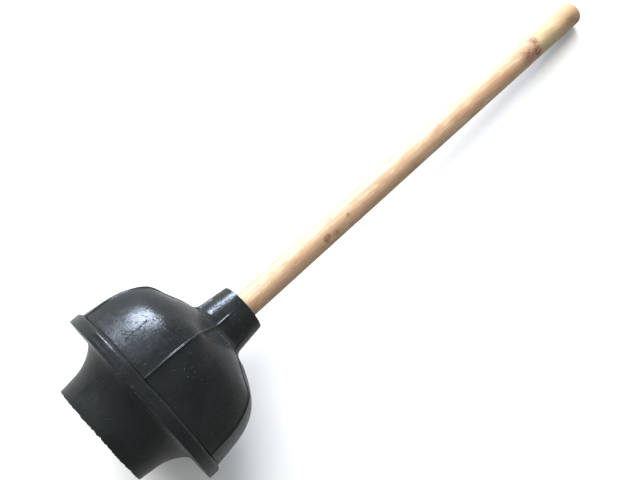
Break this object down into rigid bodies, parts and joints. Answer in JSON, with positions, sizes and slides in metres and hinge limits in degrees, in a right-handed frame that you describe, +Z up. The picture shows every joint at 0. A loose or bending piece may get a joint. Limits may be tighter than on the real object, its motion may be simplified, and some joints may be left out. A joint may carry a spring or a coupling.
{
  "type": "toilet plunger",
  "caption": "Hand force-cup plunger: ribbed rubber bell with a thick rim and a fold-in flange below, on a straight wooden handle held in a thick rubber collar.",
  "frame": {"origin": "centre of the flange's mouth, on the plane that it stands on", "axes": "+Z up the handle, away from the cup; one of the six ribs points along +X"},
  "size_m": [0.158, 0.158, 0.562],
  "materials": {
    "rubber": "satin black, moulded, lightly scuffed",
    "wood": "sanded pale hardwood with small knots, thin clear coat",
    "steel": "zinc plated"
  },
  "bodies": {
    "cup": {"cup_rim": "rubber", "cup_bell": "rubber", "cup_flange": "rubber"},
    "handle": {"handle": "wood", "handle_screw": "steel", "screw_washer": "steel", "cup_collar": "rubber"},
    "lip": {"flange_lip": "rubber"}
  },
  "joints": [
    {"name": "bell_compress", "type": "slide", "parent": "cup", "child": "handle", "axis": [0, 0, -1], "range_m": [0, 0.03], "stiffness_N_per_m": 3000, "deforming": ["cup_bell"]},
    {"name": "flange_fold", "type": "slide", "parent": "cup", "child": "lip", "axis": [0, 0, 1], "range_m": [0, 0.06], "deforming": ["cup_flange"]}
  ]
}
